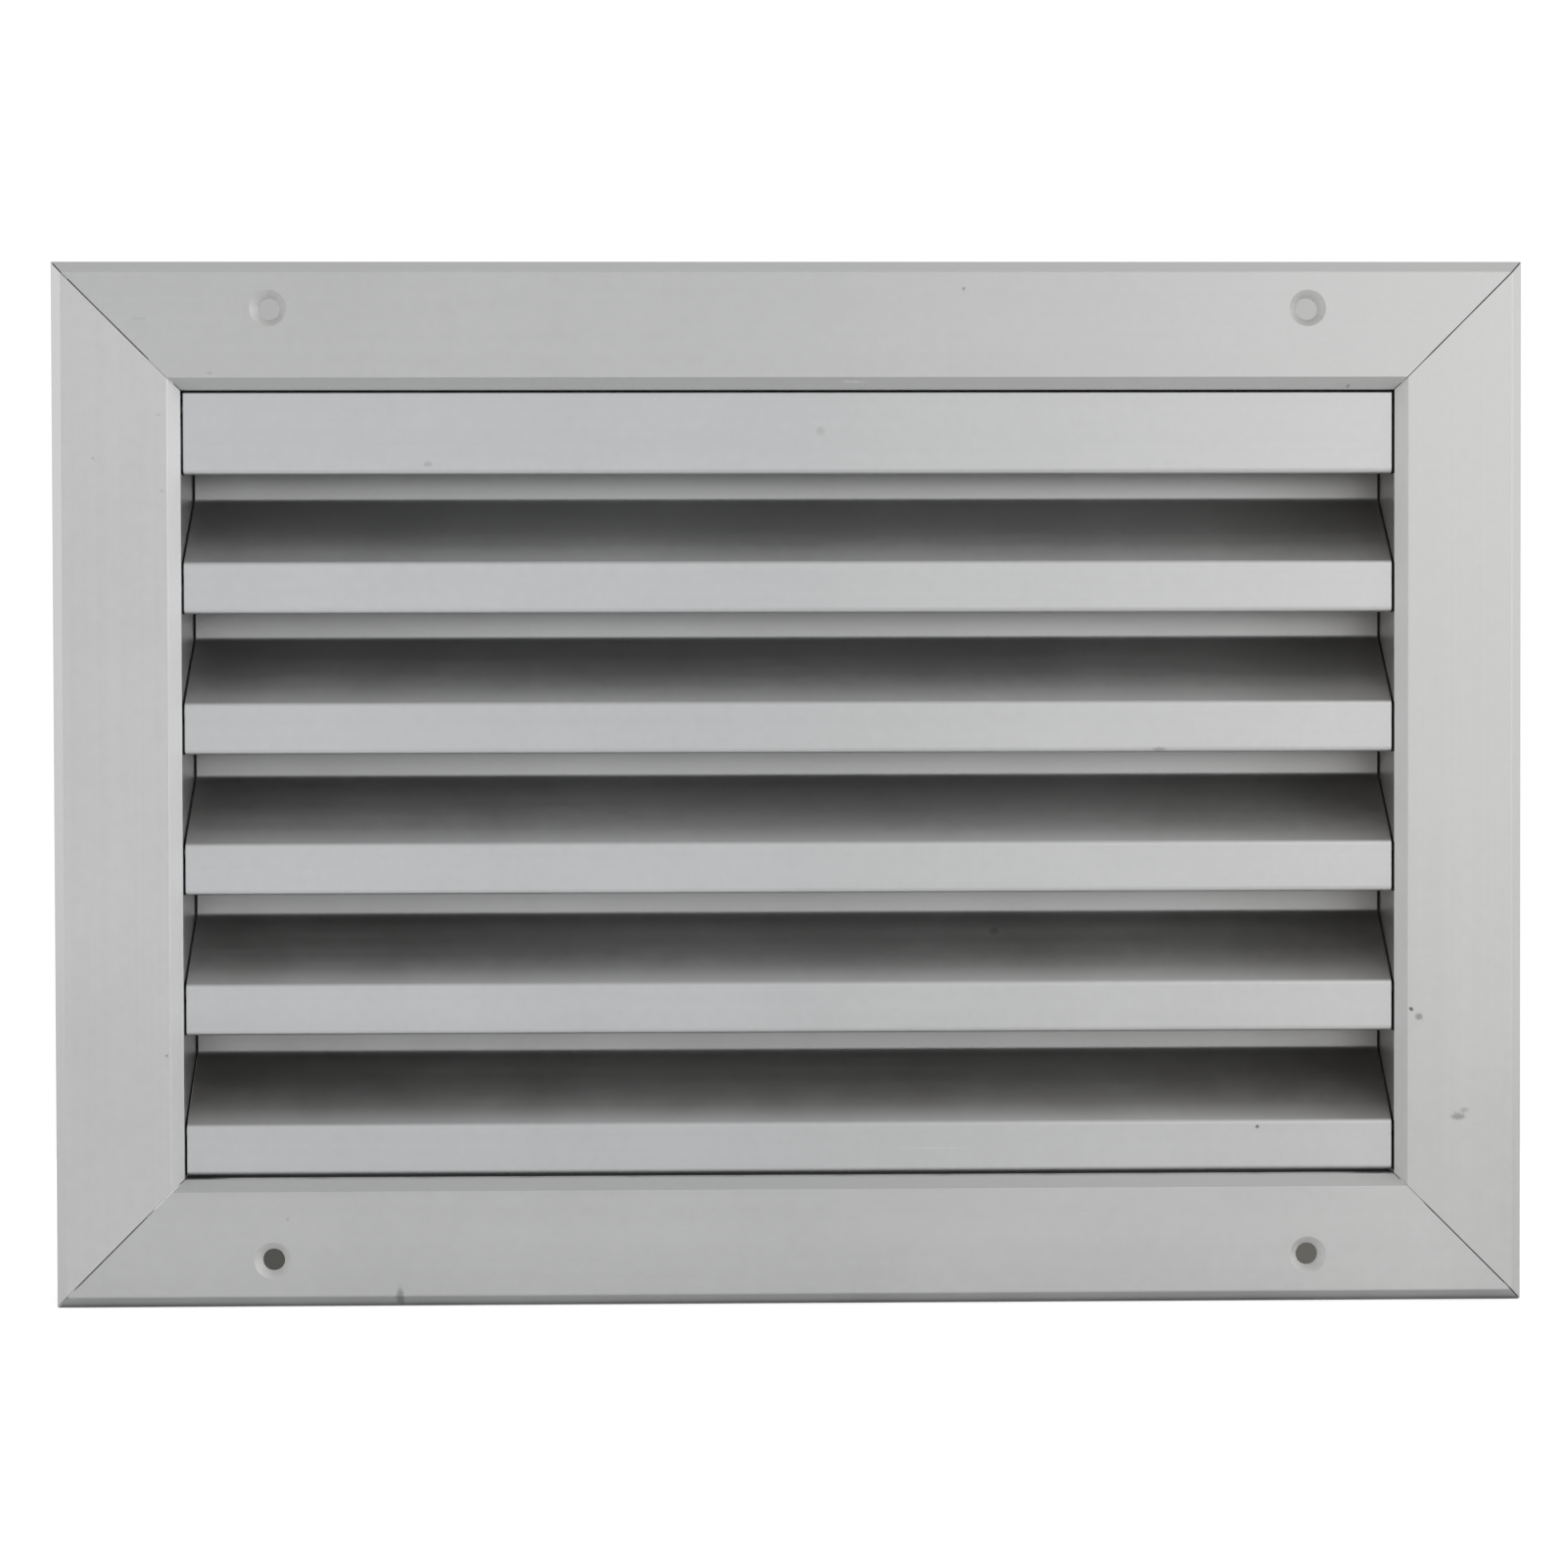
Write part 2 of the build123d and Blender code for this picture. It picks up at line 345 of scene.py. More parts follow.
lowerShadePatches = {"scale": 38.0, "detail": 3.0, "noise": (0.25, 0.75), "share": (0.7, 1.0), "smooth": False}


def makeLowerEdgeShade():
    # Painted shade along the lower edge, where the frame stands on the floor
    inputs = [
        ("Place", "Vector", (0, 0, 0)),
        ("Height", "Float", -0.12),
        ("Reach", "Float", 0.001),
        ("Under", "Float", -0.5),  # full at this share of the reach
        ("Depth", "Float", 0.5),
    ]
    group, given, out = newGroup("lowerEdgeShade", inputs, [("Mask", "Float")])
    above = calc(group, "SUBTRACT", axes(group, given["Place"])["Z"], given["Height"])
    full = calc(group, "MULTIPLY", given["Reach"], given["Under"])
    low = fade(group, above, given["Reach"], full)
    low = calc(group, "MULTIPLY", low, patchy(group, given["Place"], lowerShadePatches))
    group.links.new(calc(group, "MULTIPLY", low, given["Depth"], clamp=True), out["Mask"])
    return group


endShadePatches = {"scale": 700.0, "detail": 2.0, "noise": (0.3, 0.7), "share": (0.8, 1.2), "smooth": True}


def makeCutEndShade():
    # Painted shade at the sawn ends of a bar that lies along X, beside the gaps at its ends
    inputs = [
        ("Place", "Vector", (0, 0, 0)),
        ("End", "Float", barEnd),
        ("Reach", "Float", 0.0004),
        ("Core", "Float", 0.6),  # share of the reach that is fully covered
        ("Depth", "Float", 0.8),
    ]
    group, given, out = newGroup("cutEndShade", inputs, [("Mask", "Float")])
    across = calc(group, "ABSOLUTE", axes(group, given["Place"])["X"])
    left = calc(group, "SUBTRACT", given["End"], across)
    reach = calc(group, "MULTIPLY", given["Reach"], patchy(group, given["Place"], endShadePatches))
    mask = fade(group, left, reach, calc(group, "MULTIPLY", reach, given["Core"]))
    group.links.new(calc(group, "MULTIPLY", mask, given["Depth"]), out["Mask"])
    return group


def makeBareSink():
    # The countersinks, cut through the finish, at the same place in all four corners
    inputs = [
        ("Place", "Vector", (0, 0, 0)),
        ("Across", "Float", holeAcross),
        ("Height", "Float", holeHeight),
        ("Radius", "Float", 0.0043),
        ("Core", "Float", 0.985),  # share of the radius that is fully bare
        ("RingTurn", "Float", 26000.0),  # radians per metre
    ]
    group, given, out = newGroup("bareSink", inputs, [("Mask", "Float"), ("Rings", "Float")])
    place = axes(group, given["Place"])
    aside = calc(group, "SUBTRACT", calc(group, "ABSOLUTE", place["X"]), given["Across"])
    above = calc(group, "SUBTRACT", calc(group, "ABSOLUTE", place["Z"]), given["Height"])
    offset = addNode(group, "ShaderNodeCombineXYZ", {0: aside, 1: above}).outputs[0]
    radius = vectorCalc(group, "LENGTH", offset)
    inside = fade(group, radius, given["Radius"], calc(group, "MULTIPLY", given["Radius"], given["Core"]))
    group.links.new(inside, out["Mask"])
    rings = calc(group, "SINE", calc(group, "MULTIPLY", radius, given["RingTurn"]))
    group.links.new(calc(group, "MULTIPLY", rings, inside), out["Rings"])
    return group


def makeJointShadow():
    # Painted shade on the inner face of a leg, in the narrow gaps at the ends of the blades
    inputs = [
        ("Place", "Vector", (0, 0, 0)),
        ("Inner", "Float", openingAcross + 0.0001),
        ("Foot", "Float", bladeFoot),
        ("Pitch", "Float", bladePitch),
        ("Head", "Float", headLow.z),
        ("Lip", "Float", 0.01175),  # height of a lip
        ("LeftStart", "Float", -0.0026),
        ("RightStart", "Float", -0.0034),
        ("LipRear", "Float", 0.0004),
        ("Front", "Float", lipFront),
        ("Slope", "Float", 0.0030),  # height of a slope, cut upright
        ("Valley", "Float", 0.0127),
        ("PastValley", "Float", 0.006),
        ("UpstandDrop", "Float", 0.0065),  # below the foot of the blade above
        ("UpstandTall", "Float", 0.0128),
        ("UpstandFront", "Float", -0.0002),  # both counted from the valley
        ("UpstandRear", "Float", 0.0030),
    ]
    group, given, out = newGroup("jointShadow", inputs, [("Mask", "Float")])
    x, y, z = axes(group, given["Place"])

    def between(value, low, high):
        over = calc(group, "GREATER_THAN", value, low)
        return calc(group, "MULTIPLY", over, calc(group, "LESS_THAN", value, high))

    def wrapped(value):
        return calc(group, "FLOORED_MODULO", value, given["Pitch"])

    height = calc(group, "SUBTRACT", z, given["Foot"])
    onLip = calc(group, "LESS_THAN", wrapped(height), given["Lip"])
    onHead = calc(group, "GREATER_THAN", z, given["Head"])
    onRight = calc(group, "GREATER_THAN", x, 0.0)
    start = mixValue(group, onRight, given["LeftStart"], given["RightStart"])
    lipEnds = calc(group, "MAXIMUM", onLip, onHead)
    lipEnds = calc(group, "MULTIPLY", lipEnds, between(y, start, given["LipRear"]))
    depth = calc(group, "SUBTRACT", y, given["Front"])
    above = calc(group, "SUBTRACT", calc(group, "SUBTRACT", height, given["Lip"]), depth)
    below = calc(group, "MULTIPLY", above, -1.0)
    slopeEnds = calc(group, "LESS_THAN", wrapped(below), given["Slope"])
    slopeRear = calc(group, "ADD", given["Valley"], given["PastValley"])
    slopeEnds = calc(group, "MULTIPLY", slopeEnds, between(depth, 0.0, slopeRear))
    upstandFoot = calc(group, "SUBTRACT", given["Pitch"], given["UpstandDrop"])
    upstand = calc(group, "SUBTRACT", height, upstandFoot)
    upEnds = calc(group, "LESS_THAN", wrapped(upstand), given["UpstandTall"])
    past = calc(group, "SUBTRACT", y, given["Valley"])
    upEnds = calc(group, "MULTIPLY", upEnds, between(past, given["UpstandFront"], given["UpstandRear"]))
    ends = calc(group, "MAXIMUM", lipEnds, calc(group, "MAXIMUM", slopeEnds, upEnds))
    inner = calc(group, "LESS_THAN", calc(group, "ABSOLUTE", x), given["Inner"])
    group.links.new(calc(group, "MULTIPLY", ends, inner), out["Mask"])
    return group


def makeSillShadow():
    # Painted shade in the gap above the head bar and below the last blade
    inputs = [
        ("Place", "Vector", (0, 0, 0)),
        ("Inner", "Float", openingHeight + 0.00005),
        ("Front", "Float", -0.0013),
        ("HeadFront", "Float", -0.0005),
        ("Rear", "Float", 0.0045),
        ("Core", "Float", 0.6),  # share of the depth that is fully covered
    ]
    group, given, out = newGroup("sillShadow", inputs, [("Mask", "Float")])
    place = axes(group, given["Place"])
    inner = calc(group, "LESS_THAN", calc(group, "ABSOLUTE", place["Z"]), given["Inner"])
    above = calc(group, "GREATER_THAN", place["Z"], 0.0)
    front = mixValue(group, above, given["Front"], given["HeadFront"])
    behind = calc(group, "GREATER_THAN", place["Y"], front)
    ahead = fade(group, place["Y"], given["Rear"], calc(group, "MULTIPLY", given["Rear"], given["Core"]))
    group.links.new(product(group, inner, behind, ahead), out["Mask"])
    return group


def makeSpangle():
    # Zinc crystals, each with its own shade
    inputs = [
        ("Place", "Vector", (0, 0, 0)),
        ("Scale", "Float", 700.0),
        ("Strength", "Float", 0.2),
        ("PatchScale", "Float", 90.0),
        ("Dull", "Float", 0.6),  # share of the change that goes to the roughness
    ]
    group, given, out = newGroup("zincSpangle", inputs, [("Shade", "Float"), ("Rough", "Float")])
    cells = addNode(group, "ShaderNodeTexVoronoi", {"Vector": given["Place"], "Scale": given["Scale"]})
    split = addNode(group, "ShaderNodeSeparateColor", {0: cells.outputs["Color"]})
    tone = swing(group, split.outputs[0])
    patches = swing(group, noise(group, given["Place"], given["PatchScale"], detail=4.0))
    change = calc(group, "MULTIPLY", calc(group, "ADD", tone, patches), given["Strength"])
    group.links.new(calc(group, "ADD", change, 1.0), out["Shade"])
    group.links.new(calc(group, "MULTIPLY", change, given["Dull"]), out["Rough"])
    return group


drawnGrain = makeDrawnGrain()
cloudedOxide = makeCloudedOxide()
handMark = makeHandMark()
mitreSeam = makeMitreSeam()
recessLightAndShade = makeRecessLightAndShade()
lowerEdgeShade = makeLowerEdgeShade()
cutEndShade = makeCutEndShade()
bareSink = makeBareSink()
jointShadow = makeJointShadow()
sillShadow = makeSillShadow()
zincSpangle = makeSpangle()
print("shared effects:", len(bpy.data.node_groups))


# Finishes
def newMetal(name):
    material = bpy.data.materials.new(name)
    material.use_nodes = True
    tree = material.node_tree
    shader = tree.nodes["Principled BSDF"]
    shader.inputs["Metallic"].default_value = 1.0
    place = addNode(tree, "ShaderNodeTexCoord").outputs["Object"]
    return material, tree, shader, place


def finishMetal(tree, shader, look, colour, rough, height):
    values = {"Height": height, "Strength": look["bump"], "Distance": look["bumpDepth"]}
    tree.links.new(colour, shader.inputs["Base Color"])
    tree.links.new(rough, shader.inputs["Roughness"])
    tree.links.new(addNode(tree, "ShaderNodeBump", values).outputs[0], shader.inputs["Normal"])


markLook = {
    "torn": {"scale": 1500.0, "detail": 4.0, "roughness": 0.65},  # noise that breaks the outline
    "roughness": 0.25,  # added by a mark
}


def makeAluminium(name, look, run, marks=(), seamsAndShading=(), sink=None, joint=None):
    material, tree, shader, place = newMetal(name)
    grain = useGroup(tree, drawnGrain, Place=place, Run=run, Strength=look["grain"])
    cloud = useGroup(tree, cloudedOxide, Place=place, Scale=look["cloudScale"], Strength=look["cloud"])
    axis = axes(tree, place)
    left, middle, right = look["tints"]
    tint = mixColour(tree, fade(tree, axis["X"], -look["spread"], 0.0, smooth=False), left, middle)
    tint = mixColour(tree, fade(tree, axis["X"], 0.0, look["spread"], smooth=False), tint, right)
    lowShade = fade(tree, axis["Z"], look["lowStart"], look["lowEnd"], 1.0, look["low"])
    shade = product(tree, grain["Shade"], cloud["Shade"], lowShade)
    colour = mixColour(tree, 1.0, tint, shade, "MULTIPLY")
    rough = calc(tree, "ADD", calc(tree, "ADD", grain["Rough"], cloud["Rough"]), look["roughness"])
    if sink:
        cut = useGroup(tree, bareSink, Place=place)
        tone = calc(tree, "ADD", calc(tree, "MULTIPLY", cut["Rings"], sink["rings"]), 1.0)
        bareMetal = mixColour(tree, 1.0, sink["colour"], tone, "MULTIPLY")
        colour = mixColour(tree, cut["Mask"], colour, bareMetal)
        rough = calc(tree, "ADD", rough, calc(tree, "MULTIPLY", cut["Mask"], sink["roughness"]))
    # Seams, and painted light and shade, laid over the colour
    for layer in seamsAndShading:
        mask = useGroup(tree, layer["group"], Place=place, **layer["values"])["Mask"]
        colour = mixColour(tree, mask, colour, layer["colour"])
    if marks:
        torn = noise(tree, place, **markLook["torn"])
    for spot in marks:
        mask = useGroup(tree, handMark, Place=place, Torn=torn, **spot["values"])["Mask"]
        colour = mixColour(tree, mask, colour, spot["colour"])
        rough = calc(tree, "ADD", rough, calc(tree, "MULTIPLY", mask, markLook["roughness"]))
    if joint:
        mask = useGroup(tree, joint["group"], Place=place)["Mask"]
        colour = mixColour(tree, mask, colour, joint["colour"])
        rough = calc(tree, "ADD", rough, calc(tree, "MULTIPLY", mask, joint["roughness"]))
        tree.links.new(inverse(tree, mask), shader.inputs["Metallic"])
    finishMetal(tree, shader, look, colour, rough, grain["Height"])
    return material


railLook = {
    # left, middle, right
    "tints": [(0.529, 0.536, 0.532, 1), (0.525, 0.528, 0.528, 1), (0.560, 0.561, 0.557, 1)],
    "spread": 0.14,  # from the middle to the other two
    "low": 0.958,  # share of the tint that is left towards the bottom
    "lowStart": -0.025,
    "lowEnd": -0.090,
    "roughness": 0.44,
    "grain": 0.8,
    "cloud": 0.12,
    "cloudScale": 24.0,
    "bump": 0.12,
    "bumpDepth": 0.00001,
}
uprightLook = dict(railLook, low=0.937)
uprightLook["tints"] = [(0.595, 0.597, 0.595, 1), (0.583, 0.585, 0.582, 1), (0.570, 0.570, 0.565, 1)]
bladeLook = dict(railLook, low=0.930)
bladeLook["tints"] = [(0.573, 0.580, 0.590, 1), (0.539, 0.543, 0.549, 1), (0.586, 0.586, 0.585, 1)]
cleatLook = dict(railLook, low=1.0, roughness=0.30, grain=1.2)
cleatLook["tints"] = [(0.60, 0.60, 0.59, 1)] * 3

runAcross = (4.0, 900.0, 900.0)  # grain cells per metre along X, Y, Z
runUpright = (900.0, 900.0, 4.0)
seamLook = {"group": mitreSeam, "values": {}, "colour": (0.03, 0.03, 0.03, 1)}
# Painted shade in the recesses behind the blade lips, darker towards the lower blades and the blade ends
bladeRecessShadeLook = {
    "group": recessLightAndShade,
    "values": {"Upper": 0.17, "Lower": 0.58, "Upstand": 0.58, "LeftEnd": 0.24, "RightEnd": 0.46},
    "colour": (0.075, 0.066, 0.052, 1),
}
# Painted shade on the inner faces of the legs, behind the lips, darker towards the bottom
legRecessShadeLook = {
    "group": recessLightAndShade,
    "values": {
        "Start": -0.0025,
        "End": 0.0005,
        "Full": -0.0024,
        "Upper": 0.0,
        "Lower": 0.12,
        "Upstand": 1.0,
        "Edge": 0.0,
    },
    "colour": bladeRecessShadeLook["colour"],
}
# Painted light on the inner faces of the legs, stronger towards the right end
legPaintedLightLook = {
    "group": recessLightAndShade,
    "values": {
        "Full": -0.0026,
        "Nose": 0.0,
        "Upper": 0.30,
        "Lower": 0.26,
        "Upstand": 1.0,
        "RightEnd": 0.25,
        "Inner": openingAcross + 0.0001,
        "Edge": 0.0,
    },
    "colour": (0.90, 0.87, 0.86, 1),
}
# Painted shade on the outer bottom bevel, next to the floor
bottomBevelShadeLook = {
    "group": lowerEdgeShade,
    "values": {"Height": -0.1198, "Reach": 0.0006, "Depth": 0.34},
    "colour": (0.10, 0.10, 0.105, 1),
}
# Painted contact shadow along the bottom rim, where the frame meets the floor
rimShadowLook = {
    "group": lowerEdgeShade,
    "values": {"Height": -0.12205, "Reach": 0.0010, "Depth": 0.75},
    "colour": (0.03, 0.03, 0.03, 1),
}
# Painted shade at the blade ends, beside the gaps
endShadeLook = {"group": cutEndShade, "values": {"Reach": 0.0001, "Depth": 0.60}, "colour": (0.02, 0.02, 0.02, 1)}
# Painted shade in the gaps: near black and not metallic
sideJointLook = {"group": jointShadow, "colour": (0.012, 0.012, 0.012, 1), "roughness": 0.5}
sillJointLook = dict(sideJointLook, group=sillShadow)
sinkLook = {"colour": (0.675, 0.675, 0.67, 1), "roughness": 0.22, "rings": 0.06}

# Marks of use, in metres on the front of each piece
darkSoil = (0.07, 0.065, 0.06, 1)
blueSoil = (0.10, 0.10, 0.11, 1)
greyRub = (0.24, 0.24, 0.24, 1)
paleScratch = (0.75, 0.75, 0.74, 1)
markDeep = 0.004  # reach of a mark through the face


def mark(x, y, z, wide, tall, depth, colour=darkSoil, ragged=0.5):
    values = {"Centre": (x, y, z), "Reach": (wide, markDeep, tall), "Depth": depth, "Ragged": ragged}
    return {"values": values, "colour": colour}


uprightMarks = [
    mark(0.1479, -0.006, -0.0552, 0.0012, 0.0011, 0.42),
    mark(0.1460, -0.006, -0.0534, 0.0007, 0.0006, 0.80, darkSoil, 0.9),
    mark(0.1571, -0.006, -0.0788, 0.0022, 0.0012, 0.55, greyRub, 0.7),
    mark(0.1586, -0.006, -0.0773, 0.0014, 0.0008, 0.35, greyRub),
    mark(-0.1461, -0.006, -0.0631, 0.0005, 0.0005, 0.40),
    mark(-0.1471, -0.006, 0.0865, 0.0008, 0.0004, 0.20, greyRub, 0.9),
    mark(-0.1464, -0.006, 0.0688, 0.0009, 0.0005, 0.18, greyRub, 0.9),
    mark(-0.1624, -0.006, 0.0764, 0.0005, 0.0005, 0.20),
]
acrossMarks = [
    mark(-0.0919, -0.0048, -0.1200, 0.0013, 0.0033, 0.48, blueSoil),
    mark(-0.1519, -0.006, 0.1089, 0.0022, 0.0005, 0.13, greyRub, 1.4),
    mark(0.0408, -0.006, 0.1158, 0.0005, 0.0006, 0.38),
    mark(0.0147, -0.0046, 0.0942, 0.0030, 0.0004, 0.50, paleScratch, 0.9),
    mark(-0.1352, -0.006, 0.0962, 0.0009, 0.0005, 0.24, greyRub, 0.9),
    mark(0.1314, -0.0046, 0.0932, 0.0006, 0.0006, 0.38),
    mark(-0.1181, -0.006, -0.1016, 0.0006, 0.0006, 0.24, greyRub, 0.9),
]
bladeMarks = [
    mark(0.1102, -0.003, -0.0813, 0.0006, 0.0006, 0.75),
    mark(0.0073, -0.003, 0.0829, 0.0015, 0.0013, 0.22, greyRub),
    mark(-0.0848, -0.003, 0.0752, 0.0014, 0.0009, 0.28, greyRub),
    mark(0.0871, -0.003, 0.0079, 0.0020, 0.0008, 0.40, greyRub),
    mark(0.0489, 0.009, -0.0356, 0.0016, 0.0012, 0.35),
    mark(0.0330, -0.003, -0.0860, 0.0120, 0.0002, 0.25, paleScratch, 0.9),
]

# The mitre seams, and the painted light and shade laid over each finish
acrossSeamAndShade = [seamLook, bottomBevelShadeLook, rimShadowLook]
uprightSeamLightAndShade = [seamLook, legPaintedLightLook, legRecessShadeLook]
bladeRecessShades = [bladeRecessShadeLook, endShadeLook]
railAcrossMetal = makeAluminium(
    "railAcrossMetal", railLook, runAcross, acrossMarks, acrossSeamAndShade, sinkLook, sillJointLook
)
railUprightMetal = makeAluminium(
    "railUprightMetal", uprightLook, runUpright, uprightMarks, uprightSeamLightAndShade, joint=sideJointLook
)
bladeMetal = makeAluminium("bladeMetal", bladeLook, runAcross, bladeMarks, bladeRecessShades)
cleatMetal = makeAluminium("cleatMetal", cleatLook, runUpright)


def makeZinc(name, look):
    material, tree, shader, place = newMetal(name)
    crystals = useGroup(tree, zincSpangle, Place=place, Scale=look["crystals"], Strength=look["strength"])
    cloud = useGroup(tree, cloudedOxide, Place=place, Scale=look["cloudScale"], Strength=look["cloud"])
    shade = calc(tree, "MULTIPLY", crystals["Shade"], cloud["Shade"])
    colour = mixColour(tree, 1.0, look["colour"], shade, "MULTIPLY")
    rough = calc(tree, "ADD", calc(tree, "ADD", crystals["Rough"], cloud["Rough"]), look["roughness"])
    finishMetal(tree, shader, look, colour, rough, shade)
    return material


wireLook = {
    "colour": (0.50, 0.51, 0.52, 1),
    "roughness": 0.38,
    "crystals": 900.0,
    "strength": 0.30,
    "cloud": 0.25,
    "cloudScale": 60.0,
    "bump": 0.4,
    "bumpDepth": 0.00003,
}
screwLook = {
    "colour": (0.60, 0.59, 0.55, 1),
    "roughness": 0.32,
    "crystals": 6000.0,
    "strength": 0.04,
    "cloud": 0.10,
    "cloudScale": 300.0,
    "bump": 0.03,
    "bumpDepth": 0.00003,
}
wireZinc = makeZinc("wireZinc", wireLook)
screwZinc = makeZinc("screwZinc", screwLook)


def dress(names, material):
    for name in names:
        mesh = nodes[name].data
        mesh.materials.clear()
        mesh.materials.append(material)


cleatNames = [name for name in nodes if name.startswith("corner_cleat")]
dress(["frame_top_rail", "frame_bottom_rail"], railAcrossMetal)
dress(["frame_left_rail", "frame_right_rail"], railUprightMetal)
dress(["head_bar"] + bladeNames, bladeMetal)
dress(cleatNames, cleatMetal)
dress(["bird_mesh"], wireZinc)
dress(["blade_screws_left", "blade_screws_right"], screwZinc)
print("finishes:", len(bpy.data.materials))


# Pieces that stand for simple solids
sharpAngle = 38  # degrees, from which an edge stays sharp


def addPiece(name, mesh, material, replaced):
    for face in mesh.faces:
        face.smooth = True
    bmesh.ops.recalc_face_normals(mesh, faces=mesh.faces)
    data = bpy.data.meshes.new(name)
    mesh.to_mesh(data)
    mesh.free()
    data.set_sharp_from_angle(angle=math.radians(sharpAngle))
    data.materials.append(material)
    piece = bpy.data.objects.new(name, data)
    bpy.context.collection.objects.link(piece)
    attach(piece, "root")
    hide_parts(replaced)


def addRings(mesh, rings):
    # Joins rings of points into a closed skin with capped ends
    rows = [[mesh.verts.new(point) for point in ring] for ring in rings]
    for row, after in zip(rows, rows[1:]):
        count = len(row)
        for index in range(count):
            following = (index + 1) % count
            mesh.faces.new((row[index], row[following], after[following], after[index]))
    mesh.faces.new(rows[0][::-1])
    mesh.faces.new(rows[-1])


def roundAngles(sides):
    return [math.tau * side / sides for side in range(sides)]


birdMesh = {
    "pitch": 0.0254,
    "sides": 14,
    "sink": 0.00014,  # how far a wire gives at each weld
    "sinkReach": 0.0022,
    "step": 0.0021,  # length of one piece of the skin
    "chamfer": 0.00018,
    "nuggetRadius": 0.00105,  # of a weld
    "nuggetHalf": 0.00062,  # half of its thickness
    "nuggetSides": 12,
    "nuggetRings": (-70, -40, 0, 40, 70),  # degrees from its middle
}


def wirePlaces(low, high, wire):
    spaces = int((high - low - wire) // birdMesh["pitch"])
    return [(number - spaces / 2) * birdMesh["pitch"] for number in range(spaces + 1)]


def makeBirdMesh(values):
    low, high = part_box("bird_mesh")
    wire = (high.y - low.y) / 2
    uprights = wirePlaces(low.x, high.x, wire)
    levels = wirePlaces(low.z, high.z, wire)
    wireAngles = roundAngles(values["sides"])
    mesh = bmesh.new()

    def addWire(start, end, crossings, towards, point):
        steps = round((end - start) / values["step"])
        rings = []
        for number in range(steps + 1):
            along = start + (end - start) * number / steps
            near = min(abs(along - crossing) for crossing in crossings)
            give = towards * values["sink"] * math.exp(-((near / values["sinkReach"]) ** 2))
            radius = wire / 2 - (values["chamfer"] if number in (0, steps) else 0)
            offsets = [(radius * math.cos(a), radius * math.sin(a) + give) for a in wireAngles]
            rings.append([point(along, across, back) for across, back in offsets])
        addRings(mesh, rings)

    frontY, rearY = low.y + wire / 2, high.y - wire / 2
    for x in uprights:
        addWire(low.z, high.z, levels, 1, lambda along, across, back: (x + across, frontY + back, along))
    for z in levels:
        addWire(low.x, high.x, uprights, -1, lambda along, across, back: (along, rearY + back, z + across))

    middle = (frontY + rearY) / 2
    nuggetAngles = roundAngles(values["nuggetSides"])

    def nuggetRing(x, z, lift):
        radius = values["nuggetRadius"] * math.cos(lift)
        y = middle + values["nuggetHalf"] * math.sin(lift)
        return [(x + radius * math.cos(a), y, z + radius * math.sin(a)) for a in nuggetAngles]

    for x in uprights:
        for z in levels:
            addRings(mesh, [nuggetRing(x, z, math.radians(lift)) for lift in values["nuggetRings"]])
    addPiece("bird_mesh_wires", mesh, wireZinc, "bird_mesh")


bladeScrew = {
    "y": 0.000425,
    "sides": 36,
    "head": 0.0023,
    "headRings": (0.0, 0.5, 0.72, 0.80, 0.88, 0.95, 1.0),  # shares of its height
    "flats": 0.0055,
    "crown": 0.97,  # chamfer circle as a share of the flats
    "crownFall": 1.9,  # how fast the chamfer widens below it
    "dish": 0.00035,
    "dishRings": ((0.25, 0.78), (1.0, 0.62), (1.0, 0.20)),  # shares of the dish and of the crown
    "length": 0.013,
    "crest": 0.0014,
    "root": 0.00112,
    "threadPitch": 0.0013,
    "threadSteps": 4,  # rings in one turn
    "crestSteps": (1, 2),  # those of them on the crest
    "tip": 0.0022,
    "point": 0.25,  # share of the radius at the very tip
    "bladePort": 0.009942,  # above the foot of a blade
    "headPort": 0.0037,  # below the top of the head bar
}


def screwHeights(values):
    blades = [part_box(name)[0].z + values["bladePort"] for name in bladeNames]
    return [headHigh.z - values["headPort"], *blades]


def makeScrewRow(side, values):
    node = "blade_screws_" + ("right" if side > 0 else "left")
    low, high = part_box(node)
    head, length = values["head"], values["length"]
    bearing = (high.x if side > 0 else low.x) - side * head
    apothem = values["flats"] / 2
    crown = apothem * values["crown"]
    sixth = math.pi / 3
    angles = roundAngles(values["sides"])
    turned = [angle - sixth / 2 for angle in angles]
    hexagon = [apothem / math.cos((angle % sixth) - sixth / 2) for angle in angles]
    mesh = bmesh.new()

    def ring(z, depth, radii):
        x, y = bearing + side * depth, values["y"]
        pairs = zip(turned, radii)
        return [(x, y + radius * math.cos(a), z + radius * math.sin(a)) for a, radius in pairs]

    def even(radius):
        return [radius] * len(angles)

    for z in screwHeights(values):
        rings = []
        for share in values["headRings"]:
            limit = crown + head * (1 - share) * values["crownFall"]
            rings.append(ring(z, head * share, [min(radius, limit) for radius in hexagon]))
        for sunk, share in values["dishRings"]:
            rings.append(ring(z, head - values["dish"] * sunk, even(crown * share)))
        addRings(mesh, rings)
        rings = []
        steps = int(length / values["threadPitch"] * values["threadSteps"])
        for step in range(steps + 1):
            left = length * (1 - step / steps)
            onCrest = step % values["threadSteps"] in values["crestSteps"]
            taper = min(1.0, values["point"] + (1 - values["point"]) * left / values["tip"])
            rings.append(ring(z, left - length, even(values["crest" if onCrest else "root"] * taper)))
        addRings(mesh, rings)
    addPiece(node + "_turned", mesh, screwZinc, node)


makeBirdMesh(birdMesh)
for side in (-1, 1):
    makeScrewRow(side, bladeScrew)
print("new pieces made")


